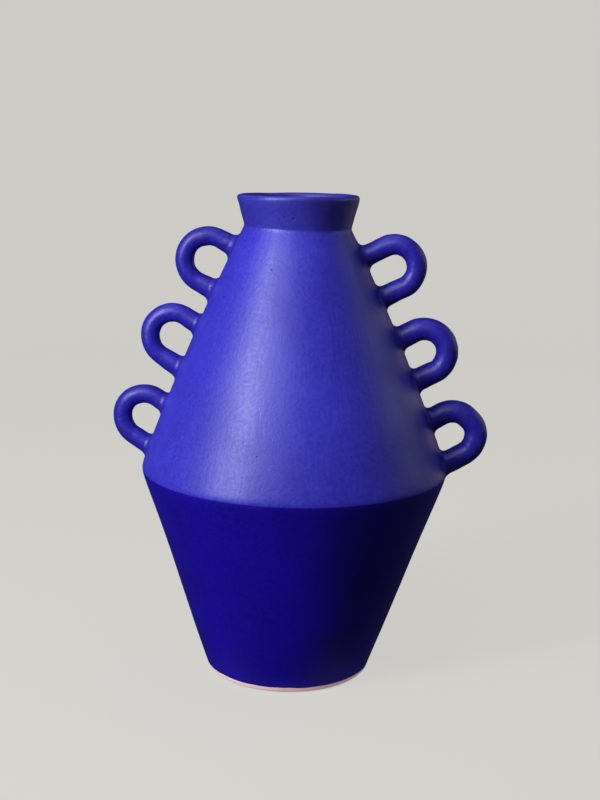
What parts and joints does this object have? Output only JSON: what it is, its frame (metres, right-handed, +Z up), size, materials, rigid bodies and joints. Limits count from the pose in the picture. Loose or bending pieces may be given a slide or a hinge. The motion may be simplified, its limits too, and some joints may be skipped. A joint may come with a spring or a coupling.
{
  "type": "amphora vase",
  "caption": "Hand-built double-cone earthenware vase with a narrow flared collar and finger loops stacked down both shoulders, in matte blue glaze.",
  "frame": {"origin": "centre of the underside, where the vase stands", "axes": "+Z up along the vase's axis; +X towards the thicker column of handles, which all lie in the XZ plane"},
  "size_m": [0.267, 0.2166, 0.34],
  "materials": {
    "glaze": "satin matte ultramarine glaze",
    "bare_clay": "unglazed pink terracotta, glazed above its lowest edge"
  },
  "bodies": {
    "root": {"base_slab": "bare_clay", "lower_wall": "glaze", "shoulder_wall": "glaze", "collar": "glaze", "base_corner_coil": "glaze", "shoulder_corner_coil": "glaze", "upper_left_handle": "glaze", "middle_left_handle": "glaze", "lower_left_handle": "glaze", "upper_right_handle": "glaze", "middle_right_handle": "glaze", "lower_right_handle": "glaze", "upper_left_lower_leg_bead": "glaze", "upper_left_upper_leg_bead": "glaze", "middle_left_lower_leg_bead": "glaze", "middle_left_upper_leg_bead": "glaze", "lower_left_lower_leg_bead": "glaze", "lower_left_upper_leg_bead": "glaze", "upper_right_lower_leg_bead": "glaze", "upper_right_upper_leg_bead": "glaze", "middle_right_lower_leg_bead": "glaze", "middle_right_upper_leg_bead": "glaze", "lower_right_lower_leg_bead": "glaze", "lower_right_upper_leg_bead": "glaze"}
  },
  "joints": []
}
